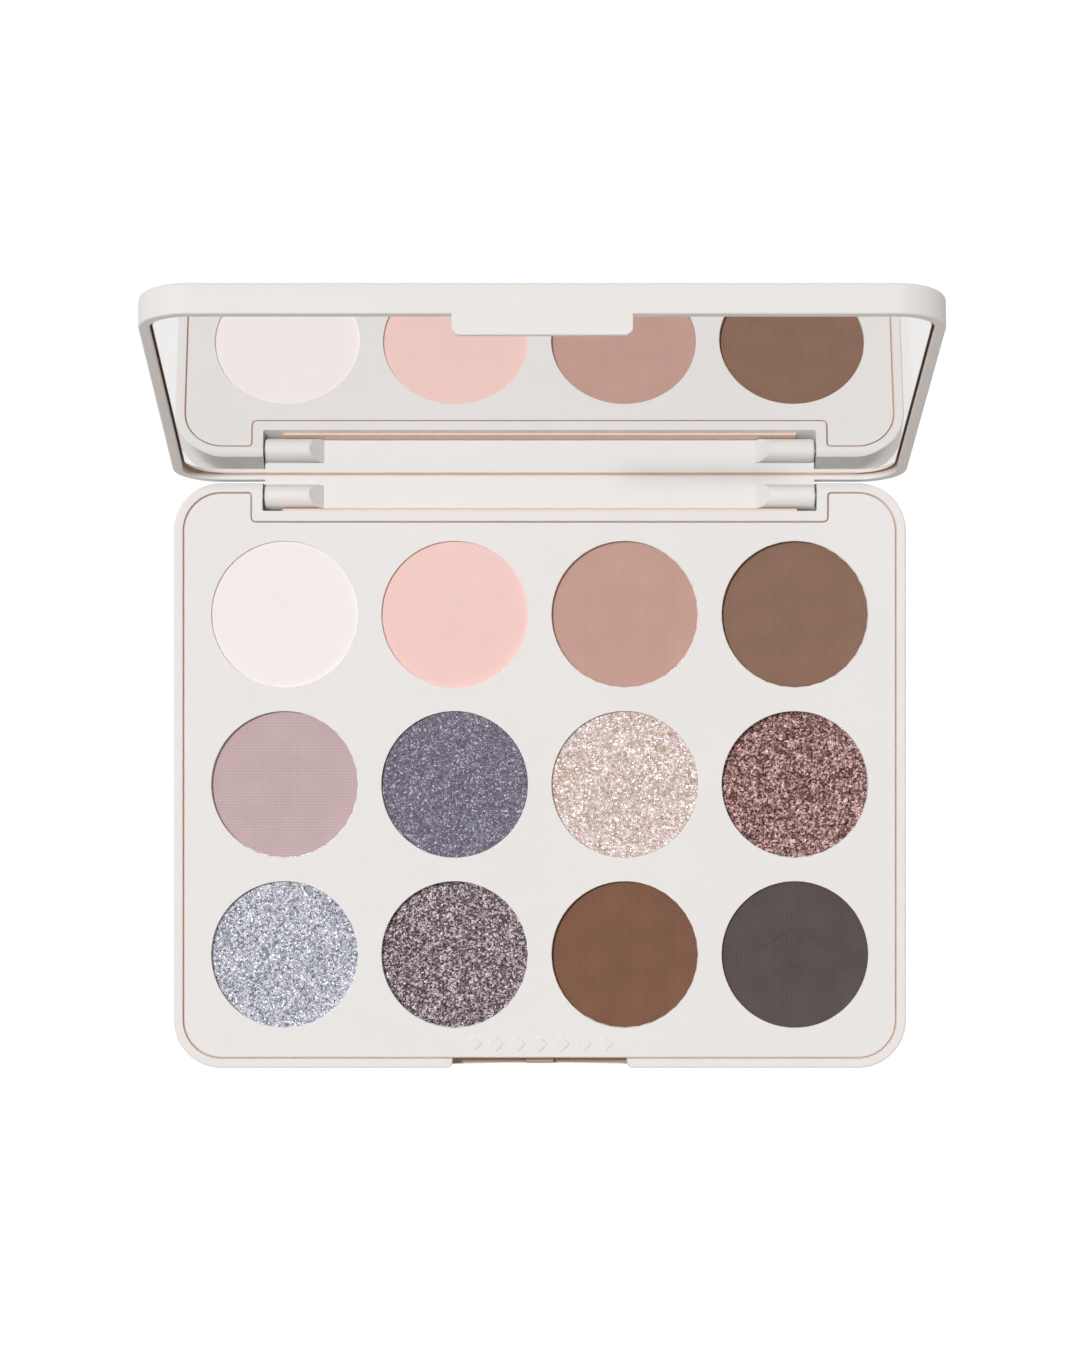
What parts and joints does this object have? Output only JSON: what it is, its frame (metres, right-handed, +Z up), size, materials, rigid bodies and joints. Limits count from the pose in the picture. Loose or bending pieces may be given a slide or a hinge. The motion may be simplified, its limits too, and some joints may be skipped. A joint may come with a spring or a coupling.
{
  "type": "eyeshadow palette",
  "caption": "Flat hinged makeup palette with a mirrored lid, a face plate with round apertures, and pressed powder cakes in metal pans.",
  "frame": {"origin": "centre of the base's flat underside", "axes": "+X to the right along the hinge, +Y towards the hinge, +Z up out of the powder face"},
  "size_m": [0.13, 0.1325, 0.1046],
  "materials": {
    "ivory_plastic": "satin moulded",
    "mirror_glass": "silvered",
    "adhesive": "matt adhesive foam",
    "pin_steel": "ground",
    "pan_metal": "stamped",
    "powder_shell": "pressed matte powder",
    "powder_blush": "pressed matte powder",
    "powder_taupe": "pressed matte powder",
    "powder_cocoa": "pressed matte powder",
    "powder_mauve": "pressed matte powder",
    "powder_slate": "pressed shimmer powder",
    "powder_champagne": "pressed glitter powder",
    "powder_copper": "pressed glitter powder",
    "powder_silver": "pressed glitter powder",
    "powder_plum": "pressed glitter powder",
    "powder_chestnut": "pressed matte powder",
    "powder_aubergine": "pressed matte powder"
  },
  "bodies": {
    "base": {"base_shell": "ivory_plastic", "face_plate": "ivory_plastic", "hinge_pin_left": "pin_steel", "hinge_pin_right": "pin_steel", "powder_row1_col1": "powder_shell", "powder_row1_col2": "powder_blush", "powder_row1_col3": "powder_taupe", "powder_row1_col4": "powder_cocoa", "powder_row2_col1": "powder_mauve", "powder_row2_col2": "powder_slate", "powder_row2_col3": "powder_champagne", "powder_row2_col4": "powder_copper", "powder_row3_col1": "powder_silver", "powder_row3_col2": "powder_plum", "powder_row3_col3": "powder_chestnut", "powder_row3_col4": "powder_aubergine", "pan_row1_col1": "pan_metal", "pan_row1_col2": "pan_metal", "pan_row1_col3": "pan_metal", "pan_row1_col4": "pan_metal", "pan_row2_col1": "pan_metal", "pan_row2_col2": "pan_metal", "pan_row2_col3": "pan_metal", "pan_row2_col4": "pan_metal", "pan_row3_col1": "pan_metal", "pan_row3_col2": "pan_metal", "pan_row3_col3": "pan_metal", "pan_row3_col4": "pan_metal", "pan_adhesive_row1_col1": "adhesive", "pan_adhesive_row1_col2": "adhesive", "pan_adhesive_row1_col3": "adhesive", "pan_adhesive_row1_col4": "adhesive", "pan_adhesive_row2_col1": "adhesive", "pan_adhesive_row2_col2": "adhesive", "pan_adhesive_row2_col3": "adhesive", "pan_adhesive_row2_col4": "adhesive", "pan_adhesive_row3_col1": "adhesive", "pan_adhesive_row3_col2": "adhesive", "pan_adhesive_row3_col3": "adhesive", "pan_adhesive_row3_col4": "adhesive"},
    "lid": {"lid_shell": "ivory_plastic", "mirror": "mirror_glass", "mirror_adhesive": "adhesive"}
  },
  "joints": [
    {"name": "lid_hinge", "type": "hinge", "parent": "base", "child": "lid", "pos_m": [0, 0.04963, 0.0056], "axis": [1, 0, 0], "range_deg": [0, 103]}
  ]
}
